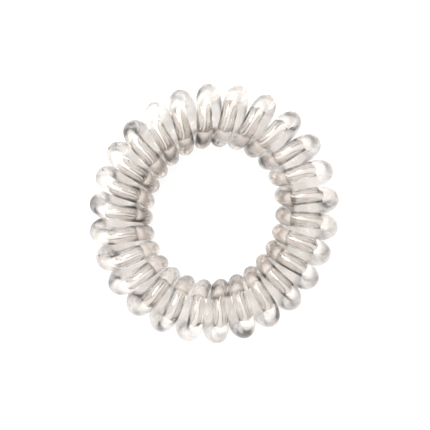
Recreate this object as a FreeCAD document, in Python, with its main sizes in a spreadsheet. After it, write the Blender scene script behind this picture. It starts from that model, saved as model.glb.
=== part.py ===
import FreeCAD, Part

import math
import os

# Spiral hair tie, in millimetres.
# One round plastic wire is wound into a coil, and the coil is bent round into a closed ring.
# The ring lies flat on its side: Z is the axis of the hair hole, and the wire rests on Z = 0.
# Bearings are in degrees about Z, anticlockwise from +X.
# A turn starts at its outer tip, goes over the top to the hair hole, and comes back underneath.

# Driving dimensions: name, value, meaning
DIMENSIONS = (
    ("turn_count", 26, "turns of wire in the whole ring"),
    ("wire_diameter", 2.5, "thickness of the round wire"),
    ("coil_diameter", 10.1, "outside of the coil, and the height of the ring as it lies"),
    ("ring_radius", 15.0, "mean distance of the coil's middle line from the hole's axis"),
    ("ring_oval", 0.5, "how far the middle line swells out on the long axis, and in on the short one"),
    ("oval_bearing", 71, "bearing of the long axis"),
    ("first_tip_bearing", 6.5, "bearing of the first turn's outer tip, before its own shift"),
    ("tip_spread", 0.8, "how much each end of a turn is widened, in degrees either side"),
    ("corners_per_turn", 10, "corners of the wire's route in one turn, each rounded by an arc"),
    ("bend_share", 0.45, "part of a straight run that the arc at each of its ends takes up"),
)

# The turns are a little uneven. Each row is a station round the ring, in degrees, and a turn
# between two stations takes values between theirs.
# tip_shift moves the whole turn along the ring, inner_lean moves its inner end further,
# and strand_sway parts the strand on top from the strand underneath.
STATION_COLUMNS = ("bearing", "tip_shift", "inner_lean", "strand_sway")
STATIONS = (
    (0, 0.2, -1.0, 0.2),
    (30, 0.8, 2.0, -0.3),
    (60, 2.4, 1.5, -1.0),
    (90, 3.0, 0.0, -0.4),
    (120, 2.9, 0.5, 0.4),
    (150, 2.7, 1.0, 0.8),
    (180, 2.4, 1.2, 0.8),
    (210, 2.1, 0.5, 1.2),
    (240, 2.0, -1.4, 0.8),
    (270, 1.5, -2.4, 0.2),
    (300, 0.6, -2.9, 0.4),
    (330, 0.4, -2.9, 0.3),
)
STATION_STEP = 360 / len(STATIONS)

VOLUME_TOLERANCE = 0.001


def fill_sheet(doc):
    """Write the driving dimensions and the station table into a sheet with aliases."""
    sheet = doc.addObject("Spreadsheet::Sheet", "sizes")
    for row, (name, value, meaning) in enumerate(DIMENSIONS, start=1):
        sheet.set(f"A{row}", name)
        sheet.set(f"B{row}", str(value))
        sheet.setAlias(f"B{row}", name)
        sheet.set(f"C{row}", meaning)
    for letter, column in zip("EFGH", STATION_COLUMNS):
        sheet.set(f"{letter}1", column)
    for row, station in enumerate(STATIONS, start=2):
        for letter, column, value in zip("EFGH", STATION_COLUMNS, station):
            sheet.set(f"{letter}{row}", str(value))
            sheet.setAlias(f"{letter}{row}", f"{column}_{station[0]}")
    doc.recompute()
    return sheet


def station_value(sheet, column, bearing):
    """Value of a station column at any bearing, on a smooth curve through the four nearest rows."""
    place = (bearing % 360) / STATION_STEP
    row = int(place)
    share = place - row
    before, here, after, beyond = (
        getattr(sheet, f"{column}_{STATIONS[(row + step) % len(STATIONS)][0]}") for step in (-1, 0, 1, 2)
    )
    slope = (after - before) / 2
    bend = before - 2.5 * here + 2 * after - 0.5 * beyond
    twist = 1.5 * (here - after) + (beyond - before) / 2
    return here + share * (slope + share * (bend + share * twist))


def route_corner(sheet, index):
    """Corner of the wire's route: a point on the coil, seen along the bent middle line of the ring."""
    turns_done = index / sheet.corners_per_turn
    phase = 2 * math.pi * turns_done
    even_bearing = sheet.first_tip_bearing + 360 * turns_done / sheet.turn_count
    towards_inner_end = (1 - math.cos(phase)) / 2
    bearing = math.radians(
        even_bearing
        + station_value(sheet, "tip_shift", even_bearing)
        + station_value(sheet, "inner_lean", even_bearing) * towards_inner_end
        + station_value(sheet, "strand_sway", even_bearing) * math.sin(phase)
        + sheet.tip_spread * math.sin(2 * phase)
    )
    middle_line = sheet.ring_radius + sheet.ring_oval * math.cos(
        2 * (bearing - math.radians(sheet.oval_bearing))
    )
    coil_radius = (sheet.coil_diameter - sheet.wire_diameter) / 2
    # The rounded route runs inside its corners, so the corners stand out by this much
    corner_radius = coil_radius / math.cos(math.pi / sheet.corners_per_turn)
    reach = middle_line + corner_radius * math.cos(phase)
    return FreeCAD.Vector(
        reach * math.cos(bearing),
        reach * math.sin(bearing),
        corner_radius * math.sin(phase),
    )


def rounded_route(corners, bend_share):
    """Straight runs joined by tangent arcs, as a closed chain of edges, and the arcs' radii."""
    runs = [after - here for here, after in zip(corners, corners[1:] + corners[:1])]
    arcs = []
    radii = []
    for number, corner in enumerate(corners):
        run_in = runs[number - 1]
        run_out = runs[number]
        half_turn = run_in.getAngle(run_out) / 2
        trim = bend_share * min(run_in.Length, run_out.Length)
        radius = trim / math.tan(half_turn)
        way_in = FreeCAD.Vector(run_in).normalize()
        way_out = FreeCAD.Vector(run_out).normalize()
        inwards = (way_out - way_in).normalize()
        start = corner - way_in * trim
        middle = corner + inwards * (radius / math.cos(half_turn) - radius)
        end = corner + way_out * trim
        arcs.append((start, middle, end))
        radii.append(radius)
    edges = []
    for number, (start, middle, end) in enumerate(arcs):
        last_end = arcs[number - 1][2]
        edges.append(Part.LineSegment(last_end, start).toShape())
        edges.append(Part.Arc(start, middle, end).toShape())
    return edges, radii


def wire_span(doc, name, edges):
    """Sweep the wire's round section along one open stretch of the route."""
    route = doc.addObject("Part::Feature", f"{name}_route")
    route.Shape = Part.Wire(edges)
    first = edges[0]
    section = doc.addObject("Part::Circle", f"{name}_section")
    section.setExpression("Radius", "sizes.wire_diameter / 2")
    section.Placement = FreeCAD.Placement(
        first.Vertexes[0].Point,
        FreeCAD.Rotation(FreeCAD.Vector(0, 0, 1), first.tangentAt(first.FirstParameter)),
    )
    span = doc.addObject("Part::Sweep", name)
    span.Sections = [section]
    span.Spine = (route, [f"Edge{number}" for number in range(1, len(edges) + 1)])
    span.Solid = True
    span.Frenet = False
    span.Transition = "Transformed"
    return span


def check_objects(doc):
    """Stop if any object of the document failed to build."""
    for part in doc.Objects:
        failed = {"Invalid", "Error"} & set(part.State)
        if failed:
            raise RuntimeError(f"{part.Label} is in state {sorted(failed)}")


def check_solid(node, expected_volume):
    """Stop unless the node is one valid closed solid with the wire's section times its length."""
    shape = node.Shape
    if shape.isNull() or not shape.isValid() or not shape.isClosed() or len(shape.Solids) != 1:
        raise RuntimeError(f"{node.Label} is not one valid closed solid")
    if abs(shape.Volume - expected_volume) > VOLUME_TOLERANCE * expected_volume:
        raise RuntimeError(f"{node.Label} holds {shape.Volume:.1f} mm3, not {expected_volume:.1f}")


def build():
    """Build the ring and write its file."""
    doc = FreeCAD.newDocument("spiral_hair_tie")
    sheet = fill_sheet(doc)

    corner_count = int(sheet.turn_count * sheet.corners_per_turn)
    corners = [route_corner(sheet, index) for index in range(corner_count)]
    edges, radii = rounded_route(corners, sheet.bend_share)
    whole_route = Part.Wire(edges)

    # The wire is swept in two spans, which meet end to end and are fused into the closed ring
    half = len(edges) // 2
    first_span = wire_span(doc, "first_span", edges[:half])
    second_span = wire_span(doc, "second_span", edges[half:])
    spiral_wire = doc.addObject("Part::Fuse", "spiral_wire")
    spiral_wire.Base = first_span
    spiral_wire.Tool = second_span
    spiral_wire.Label = "spiral_wire"

    # The origin is under the middle of the ring's outline, on the surface that it rests on
    outline = whole_route.BoundBox
    spiral_wire.Placement = FreeCAD.Placement(
        FreeCAD.Vector(-outline.Center.x, -outline.Center.y, 0), FreeCAD.Rotation()
    )
    spiral_wire.setExpression("Placement.Base.z", "sizes.coil_diameter / 2")
    doc.recompute()

    check_objects(doc)
    section_area = math.pi * (sheet.wire_diameter / 2) ** 2
    check_solid(spiral_wire, section_area * whole_route.Length)

    size = spiral_wire.Shape.optimalBoundingBox(False, False)
    print(f"wire length {whole_route.Length:.1f} mm, volume {spiral_wire.Shape.Volume:.1f} mm3")
    print(f"bend radii {min(radii):.2f} to {max(radii):.2f} mm")
    print(f"size {size.XLength:.2f} x {size.YLength:.2f} x {size.ZLength:.2f} mm")
    print(f"lowest point {size.ZMin:.3f} mm, centre {size.Center.x:.3f}, {size.Center.y:.3f}")

    os.makedirs("parts", exist_ok=True)
    spiral_wire.Shape.exportStep(f"parts/{spiral_wire.Label}.step")


build()
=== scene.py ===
"""Looks of the spiral hair tie: one clear wire, wound into a coil and closed into a ring.

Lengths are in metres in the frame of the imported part. Bearings are in degrees about Z,
anticlockwise from +X. The ring lies flat on a pale floor, and the camera looks down on it.
"""

import logging
import math
from dataclasses import dataclass
from enum import Enum

import bpy
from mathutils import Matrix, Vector


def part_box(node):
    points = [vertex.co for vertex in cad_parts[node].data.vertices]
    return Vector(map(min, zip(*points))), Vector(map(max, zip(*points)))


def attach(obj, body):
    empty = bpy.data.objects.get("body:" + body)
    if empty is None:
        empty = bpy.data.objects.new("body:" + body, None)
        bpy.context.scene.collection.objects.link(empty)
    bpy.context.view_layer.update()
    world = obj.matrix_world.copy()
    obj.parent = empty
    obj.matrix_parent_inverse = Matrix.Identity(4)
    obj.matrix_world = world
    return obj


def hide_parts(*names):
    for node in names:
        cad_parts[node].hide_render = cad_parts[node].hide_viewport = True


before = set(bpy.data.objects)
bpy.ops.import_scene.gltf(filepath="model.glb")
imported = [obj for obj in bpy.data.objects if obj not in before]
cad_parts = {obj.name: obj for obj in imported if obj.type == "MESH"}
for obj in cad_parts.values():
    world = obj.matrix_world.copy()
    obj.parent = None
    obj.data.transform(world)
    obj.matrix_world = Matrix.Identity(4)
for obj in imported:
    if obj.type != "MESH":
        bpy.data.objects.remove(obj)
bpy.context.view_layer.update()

WIRE_NODE = "spiral_wire"
WIRE_PIECE = "clear_spiral_wire"
WIRE_SLOT = "clear_plastic"
ROOT_BODY = "root"

Colour = tuple[float, float, float, float]
WHITE: Colour = (1.0, 1.0, 1.0, 1.0)
WITHOUT_HEIGHT = (1.0, 1.0, 0.0)

log = logging.getLogger("spiral_hair_tie")


class Unevenness(Enum):
    """The ways in which a turn stands unevenly, each the name of a station's column."""

    TIP_SHIFT = "tip_shift"
    INNER_LEAN = "inner_lean"
    STRAND_SWAY = "strand_sway"


@dataclass(frozen=True)
class Station:
    """Unevenness of the turns at one bearing round the ring, all in degrees.

    tip_shift moves the whole turn along the ring, inner_lean moves its inner end further, and
    strand_sway parts the strand on top from the strand underneath.
    """

    bearing: float
    tip_shift: float
    inner_lean: float
    strand_sway: float


STATIONS = (
    Station(0, 0.2, -1.0, 0.2),
    Station(30, 0.8, 2.0, -0.3),
    Station(60, 2.4, 1.5, -1.0),
    Station(90, 3.0, 0.0, -0.4),
    Station(120, 2.9, 0.5, 0.4),
    Station(150, 2.7, 1.0, 0.8),
    Station(180, 2.4, 1.2, 0.8),
    Station(210, 2.1, 0.5, 1.2),
    Station(240, 2.0, -1.4, 0.8),
    Station(270, 1.5, -2.4, 0.2),
    Station(300, 0.6, -2.9, 0.4),
    Station(330, 0.4, -2.9, 0.3),
)


def deselect_all() -> None:
    """Leave nothing selected, so that an operator acts on the new piece alone."""
    bpy.ops.object.select_all(action="DESELECT")


def new_material(name: str) -> tuple[bpy.types.Material, bpy.types.NodeTree]:
    """Make a material with an empty node tree.

    Args:
        name: Name of the finish.

    Returns:
        The material and its node tree.
    """
    material = bpy.data.materials.new(name)
    material.use_nodes = True
    material.node_tree.nodes.clear()
    return material, material.node_tree


@dataclass(frozen=True)
class ClearPlastic:
    """Crystal-clear flexible plastic: faint warm tint, soft clouds and fine ripples, with painted
    shade on the ring's inner side and painted dark lines at the rims.

    painted_inner_shade is full at inner_shade_full from the hole's axis and fades out by
    inner_shade_ends. The rims start at edge_shade_starts and are full at edge_shade_full, where 0
    is a surface seen square on and 1 is one seen edge on.
    """

    tint: Colour = (0.91, 0.875, 0.845, 1.0)
    deep_tint: Colour = (0.74, 0.69, 0.645, 1.0)
    cloud_size: float = 0.004
    # painted shade: a darker, browner tint on the ring's inner side, where the strands crowd and
    # shade each other
    painted_inner_shade: Colour = (0.45, 0.385, 0.335, 1.0)
    inner_shade_full: float = 0.0105
    inner_shade_ends: float = 0.012
    # painted shade: near-black lines where the plastic is seen edge on, standing for dark
    # surroundings seen in its edges
    painted_edge_shade: Colour = (0.015, 0.012, 0.010, 1.0)
    edge_shade_blend: float = 0.5
    edge_shade_starts: float = 0.2
    edge_shade_full: float = 0.4
    edge_shade_patch_size: float = 0.0035
    haze_high: float = 0.03
    refraction: float = 1.5
    absorption_colour: Colour = (0.70, 0.60, 0.52, 1.0)
    absorption_density: float = 12.0
    ripple_size: float = 0.0016
    ripple_height: float = 2.5e-05
    noise_detail: float = 2.0
    noise_low: float = 0.35
    noise_high: float = 0.65

    def noise(self, tree: bpy.types.NodeTree, size: float, highest: float) -> bpy.types.NodeSocket:
        """Add soft noise that is fixed to the wire, from 0 up to a highest value.

        Args:
            tree: Node tree of the finish.
            size: Size of the noise's patches.
            highest: Value in the highest patches.

        Returns:
            The socket that gives the value.
        """
        place = tree.nodes.new("ShaderNodeTexCoord")
        noise = tree.nodes.new("ShaderNodeTexNoise")
        noise.inputs["Scale"].default_value = 1.0 / size
        noise.inputs["Detail"].default_value = self.noise_detail
        tree.links.new(place.outputs["Object"], noise.inputs["Vector"])
        value = tree.nodes.new("ShaderNodeMapRange")
        value.inputs["From Min"].default_value = self.noise_low
        value.inputs["From Max"].default_value = self.noise_high
        value.inputs["To Max"].default_value = highest
        tree.links.new(noise.outputs["Fac"], value.inputs["Value"])
        return value.outputs["Result"]

    def blend(
        self, tree: bpy.types.NodeTree, share: bpy.types.NodeSocket, over: Colour
    ) -> bpy.types.Node:
        """Add a mix that lays a colour over whatever its input A gets.

        Args:
            tree: Node tree of the finish.
            share: Socket that gives the share of the colour, 0 to 1.
            over: The colour laid over.

        Returns:
            The mix, with its input A still free.
        """
        mix = tree.nodes.new("ShaderNodeMix")
        mix.data_type = "RGBA"
        mix.inputs["B"].default_value = over
        tree.links.new(share, mix.inputs["Factor"])
        return mix

    def painted_inner_shade_mask(self, tree: bpy.types.NodeTree) -> bpy.types.NodeSocket:
        """Add the mask of the painted shade on the ring's inner side: a value that rises from 0 to
        1 towards the hair hole.

        Args:
            tree: Node tree of the finish.

        Returns:
            The socket that gives the value.
        """
        nodes, links = tree.nodes, tree.links
        place = nodes.new("ShaderNodeTexCoord")
        flat = nodes.new("ShaderNodeVectorMath")
        flat.operation = "MULTIPLY"
        flat.inputs[1].default_value = WITHOUT_HEIGHT
        links.new(place.outputs["Object"], flat.inputs[0])
        reach = nodes.new("ShaderNodeVectorMath")
        reach.operation = "LENGTH"
        links.new(flat.outputs["Vector"], reach.inputs[0])
        inwards = nodes.new("ShaderNodeMapRange")
        inwards.interpolation_type = "SMOOTHSTEP"
        inwards.inputs["From Min"].default_value = self.inner_shade_ends
        inwards.inputs["From Max"].default_value = self.inner_shade_full
        links.new(reach.outputs["Value"], inwards.inputs["Value"])
        return inwards.outputs["Result"]

    def painted_edge_shade_mask(self, tree: bpy.types.NodeTree) -> bpy.types.NodeSocket:
        """Add the mask of the painted dark lines at the rims: a value that rises where the glossy
        surface turns away, in patches.

        Args:
            tree: Node tree of the finish.

        Returns:
            The socket that gives the value.
        """
        turned_away = tree.nodes.new("ShaderNodeLayerWeight")
        turned_away.inputs["Blend"].default_value = self.edge_shade_blend
        edge_shade_ramp = tree.nodes.new("ShaderNodeMapRange")
        edge_shade_ramp.inputs["From Min"].default_value = self.edge_shade_starts
        edge_shade_ramp.inputs["From Max"].default_value = self.edge_shade_full
        tree.links.new(turned_away.outputs["Facing"], edge_shade_ramp.inputs["Value"])
        tree.links.new(self.noise(tree, self.edge_shade_patch_size, 1.0), edge_shade_ramp.inputs["To Max"])
        return edge_shade_ramp.outputs["Result"]

    def body_colour(self, tree: bpy.types.NodeTree) -> bpy.types.NodeSocket:
        """Add the tint: clouds of two shades, with painted shade on the ring's inner side and
        painted dark lines at the rims.

        Args:
            tree: Node tree of the finish.

        Returns:
            The socket that gives the colour.
        """
        clouds = self.blend(tree, self.noise(tree, self.cloud_size, 1.0), self.deep_tint)
        clouds.inputs["A"].default_value = self.tint
        # painted shade on the inner side, towards the hair hole
        inner_shaded = self.blend(tree, self.painted_inner_shade_mask(tree), self.painted_inner_shade)
        tree.links.new(clouds.outputs["Result"], inner_shaded.inputs["A"])
        # painted dark lines at the rims, where the surface turns away
        edge_shaded = self.blend(tree, self.painted_edge_shade_mask(tree), self.painted_edge_shade)
        tree.links.new(inner_shaded.outputs["Result"], edge_shaded.inputs["A"])
        return edge_shaded.outputs["Result"]

    def material(self) -> bpy.types.Material:
        """Build the finish.

        Returns:
            The clear plastic.
        """
        material, tree = new_material(WIRE_SLOT)
        nodes, links = tree.nodes, tree.links
        bump = nodes.new("ShaderNodeBump")
        bump.inputs["Distance"].default_value = self.ripple_height
        bump.inputs["Strength"].default_value = 1.0
        links.new(self.noise(tree, self.ripple_size, 1.0), bump.inputs["Height"])
        body = nodes.new("ShaderNodeBsdfPrincipled")
        body.inputs["IOR"].default_value = self.refraction
        body.inputs["Transmission Weight"].default_value = 1.0
        links.new(self.body_colour(tree), body.inputs["Base Color"])
        links.new(self.noise(tree, self.ripple_size, self.haze_high), body.inputs["Roughness"])
        links.new(bump.outputs["Normal"], body.inputs["Normal"])
        depth = nodes.new("ShaderNodeVolumeAbsorption")
        depth.inputs["Color"].default_value = self.absorption_colour
        depth.inputs["Density"].default_value = self.absorption_density
        out = nodes.new("ShaderNodeOutputMaterial")
        links.new(body.outputs["BSDF"], out.inputs["Surface"])
        links.new(depth.outputs["Volume"], out.inputs["Volume"])
        return material


@dataclass(frozen=True)
class PaleOpal:
    """Pale opal sheet that is lit from below, for the floor."""

    name: str = "pale_floor"
    colour: Colour = (0.25, 0.25, 0.25, 1.0)
    roughness: float = 0.9
    glow: float = 0.8

    def material(self) -> bpy.types.Material:
        """Build the finish.

        Returns:
            The glowing opal.
        """
        material, tree = new_material(self.name)
        body = tree.nodes.new("ShaderNodeBsdfPrincipled")
        body.inputs["Base Color"].default_value = self.colour
        body.inputs["Roughness"].default_value = self.roughness
        body.inputs["Emission Color"].default_value = WHITE
        body.inputs["Emission Strength"].default_value = self.glow
        out = tree.nodes.new("ShaderNodeOutputMaterial")
        tree.links.new(body.outputs["BSDF"], out.inputs["Surface"])
        return material


@dataclass(frozen=True)
class SpiralWire:
    """The whole hair tie: a round wire wound in 26 turns along a slightly oval ring.

    The coil's middle line swells out by ring_oval at oval_bearing and shrinks in by as much
    square to it. first_tip_bearing is the bearing of the first turn's outer tip, before its own
    shift, and tip_spread widens each end of a turn, in degrees either side.
    """

    turn_count: int = 26
    wire_diameter: float = 0.0025
    coil_diameter: float = 0.0101
    ring_radius: float = 0.015
    ring_oval: float = 0.0005
    oval_bearing: float = 71.0
    first_tip_bearing: float = 6.5
    tip_spread: float = 0.8
    rows_per_turn: int = 96
    bevel_steps: int = 12
    stations: tuple[Station, ...] = STATIONS

    def uneven(self, way: Unevenness, bearing: float) -> float:
        """Unevenness at any bearing, on a smooth curve through the four nearest stations.

        Args:
            way: The way in which the turns are uneven.
            bearing: Bearing in degrees.

        Returns:
            The value in degrees.
        """
        place = (bearing % 360) / (360 / len(self.stations))
        row = int(place)
        share = place - row
        before, here, after, beyond = (
            getattr(self.stations[(row + step) % len(self.stations)], way.value)
            for step in (-1, 0, 1, 2)
        )
        slope = (after - before) / 2
        bend = before - 2.5 * here + 2 * after - 0.5 * beyond
        twist = 1.5 * (here - after) + (beyond - before) / 2
        return here + share * (slope + share * (bend + share * twist))

    def route_point(self, turns_done: float) -> Vector:
        """Point of the wire's centre line.

        Args:
            turns_done: Turns of wire since the first outer tip.

        Returns:
            The point, about the ring's own middle.
        """
        phase = 2 * math.pi * turns_done
        even_bearing = self.first_tip_bearing + 360 * turns_done / self.turn_count
        towards_inner_end = (1 - math.cos(phase)) / 2
        bearing = math.radians(
            even_bearing
            + self.uneven(Unevenness.TIP_SHIFT, even_bearing)
            + self.uneven(Unevenness.INNER_LEAN, even_bearing) * towards_inner_end
            + self.uneven(Unevenness.STRAND_SWAY, even_bearing) * math.sin(phase)
            + self.tip_spread * math.sin(2 * phase)
        )
        middle_line = self.ring_radius + self.ring_oval * math.cos(
            2 * (bearing - math.radians(self.oval_bearing))
        )
        coil_radius = (self.coil_diameter - self.wire_diameter) / 2
        reach = middle_line + coil_radius * math.cos(phase)
        return Vector(
            (reach * math.cos(bearing), reach * math.sin(bearing), coil_radius * math.sin(phase))
        )

    def build(self) -> bpy.types.Object:
        """Wind the wire from a plain circle, give it its thickness and close it.

        Returns:
            The finished mesh, at its place in the frame.
        """
        deselect_all()
        row_count = self.turn_count * self.rows_per_turn
        bpy.ops.mesh.primitive_circle_add(vertices=row_count, radius=self.ring_radius)
        wire = bpy.context.object
        wire.name = WIRE_PIECE
        for number, corner in enumerate(wire.data.vertices):
            corner.co = self.route_point(number / self.rows_per_turn)
        bpy.ops.object.convert(target="CURVE")
        wire = bpy.context.object
        wire.data.dimensions = "3D"
        wire.data.twist_mode = "MINIMUM"
        wire.data.bevel_depth = self.wire_diameter / 2
        wire.data.bevel_resolution = self.bevel_steps
        bpy.ops.object.convert(target="MESH")
        wire = bpy.context.object
        bpy.ops.object.shade_smooth()
        self.settle(wire)
        return wire

    def settle(self, wire: bpy.types.Object) -> None:
        """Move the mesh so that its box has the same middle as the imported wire's box.

        Args:
            wire: The wound wire.
        """
        low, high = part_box(WIRE_NODE)
        corners = [corner.co for corner in wire.data.vertices]
        own_low = Vector([min(corner[axis] for corner in corners) for axis in range(3)])
        own_high = Vector([max(corner[axis] for corner in corners) for axis in range(3)])
        shift = (low + high) / 2 - (own_low + own_high) / 2
        for corner in wire.data.vertices:
            corner.co += shift

    def dress(self, wire: bpy.types.Object) -> None:
        """Give the wire its finish and its place in the part.

        Args:
            wire: The wound wire.
        """
        wire.data.materials.clear()
        wire.data.materials.append(ClearPlastic().material())
        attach(wire, ROOT_BODY)
        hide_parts(WIRE_NODE)


@dataclass(frozen=True)
class SoftLamp:
    """One large square soft lamp that hangs at the upper left and points at the ring."""

    name: str = "key_lamp"
    bearing: float = 135.0
    elevation: float = 60.0
    distance: float = 0.9
    width: float = 0.6
    power: float = 11.0

    def build(self) -> bpy.types.Object:
        """Hang the lamp, with its own disc kept out of what shows through the plastic.

        Returns:
            The lamp.
        """
        bearing = math.radians(self.bearing)
        height = math.radians(self.elevation)
        place = self.distance * Vector(
            (
                math.cos(bearing) * math.cos(height),
                math.sin(bearing) * math.cos(height),
                math.sin(height),
            )
        )
        deselect_all()
        bpy.ops.object.light_add(type="AREA", location=place)
        lamp = bpy.context.object
        lamp.name = self.name
        lamp.data.shape = "SQUARE"
        lamp.data.size = self.width
        lamp.data.energy = self.power
        lamp.rotation_euler = place.to_track_quat("Z", "Y").to_euler()
        lamp.visible_transmission = False
        return lamp


@dataclass(frozen=True)
class Surround:
    """White tent round the floor: bright overhead on one side and darker towards the other."""

    name: str = "studio_tent"
    brightest: tuple[float, float, float] = (-0.5, 0.5, 0.7)
    dark_level: float = 0.3
    bright_level: float = 2.2
    dark_until: float = 0.0
    bright_from: float = 0.7

    def build(self) -> None:
        """Hang the tent."""
        world = bpy.data.worlds.new(self.name)
        world.use_nodes = True
        nodes, links = world.node_tree.nodes, world.node_tree.links
        background = nodes["Background"]
        background.inputs["Color"].default_value = WHITE
        direction = nodes.new("ShaderNodeTexCoord")
        nearness = nodes.new("ShaderNodeVectorMath")
        nearness.operation = "DOT_PRODUCT"
        nearness.inputs[1].default_value = Vector(self.brightest).normalized()
        links.new(direction.outputs["Generated"], nearness.inputs[0])
        level = nodes.new("ShaderNodeMapRange")
        level.interpolation_type = "SMOOTHSTEP"
        level.inputs["From Min"].default_value = self.dark_until
        level.inputs["From Max"].default_value = self.bright_from
        level.inputs["To Min"].default_value = self.dark_level
        level.inputs["To Max"].default_value = self.bright_level
        links.new(nearness.outputs["Value"], level.inputs["Value"])
        links.new(level.outputs["Result"], background.inputs["Strength"])
        bpy.context.scene.world = world


@dataclass(frozen=True)
class Studio:
    """Pale floor, one large soft lamp and a white tent."""

    floor_name: str = "pale_floor"
    floor_size: float = 3.0
    light_bounces: int = 48

    def build_floor(self) -> bpy.types.Object:
        """Lay the pale floor under the ring.

        Returns:
            The floor.
        """
        deselect_all()
        bpy.ops.mesh.primitive_plane_add(size=self.floor_size)
        floor = bpy.context.object
        floor.name = self.floor_name
        floor.data.materials.append(PaleOpal().material())
        return floor

    def set_light_paths(self) -> None:
        """Let light run on through many strands, and keep white as white."""
        paths = bpy.context.scene.cycles
        paths.max_bounces = self.light_bounces
        paths.transmission_bounces = self.light_bounces
        paths.glossy_bounces = self.light_bounces
        bpy.context.scene.view_settings.view_transform = "Standard"

    def build(self) -> None:
        """Build the whole studio."""
        floor = self.build_floor()
        lamp = SoftLamp().build()
        Surround().build()
        self.set_light_paths()
        log.info("studio: %s, %s and surround", floor.name, lamp.name)


@dataclass(frozen=True)
class Camera:
    """The camera looks straight down on the ring, as in the photograph.

    frame_width is how much of the ring's middle plane the picture's width takes in, sensor is in
    millimetres, and aim is the point of the floor under the camera.
    """

    name: str = "photo_camera"
    height_above_middle: float = 0.45
    frame_width: float = 0.06745
    sensor: float = 36.0
    nearest: float = 0.01
    aim: tuple[float, float] = (0.000125, -0.000267)

    def build(self, middle_height: float) -> bpy.types.Object:
        """Place the camera.

        Args:
            middle_height: Height of the ring's middle plane above the floor.

        Returns:
            The camera.
        """
        place = (self.aim[0], self.aim[1], middle_height + self.height_above_middle)
        deselect_all()
        bpy.ops.object.camera_add(location=place, rotation=(0.0, 0.0, 0.0))
        camera = bpy.context.object
        camera.name = self.name
        camera.data.sensor_width = self.sensor
        camera.data.lens = self.sensor * self.height_above_middle / self.frame_width
        camera.data.clip_start = self.nearest
        bpy.context.scene.camera = camera
        return camera


def main() -> None:
    """Build the hair tie, its studio and its camera, in that order."""
    logging.basicConfig(level=logging.INFO, format="%(message)s")
    spiral_wire = SpiralWire()
    wire = spiral_wire.build()
    spiral_wire.dress(wire)
    triangles = sum(len(face.vertices) - 2 for face in wire.data.polygons)
    log.info("%s: %d triangles", wire.name, triangles)
    Studio().build()
    low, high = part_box(WIRE_NODE)
    camera = Camera().build((low.z + high.z) / 2)
    log.info("%s: lens %.1f mm", camera.name, camera.data.lens)


if __name__ == "__main__":
    main()
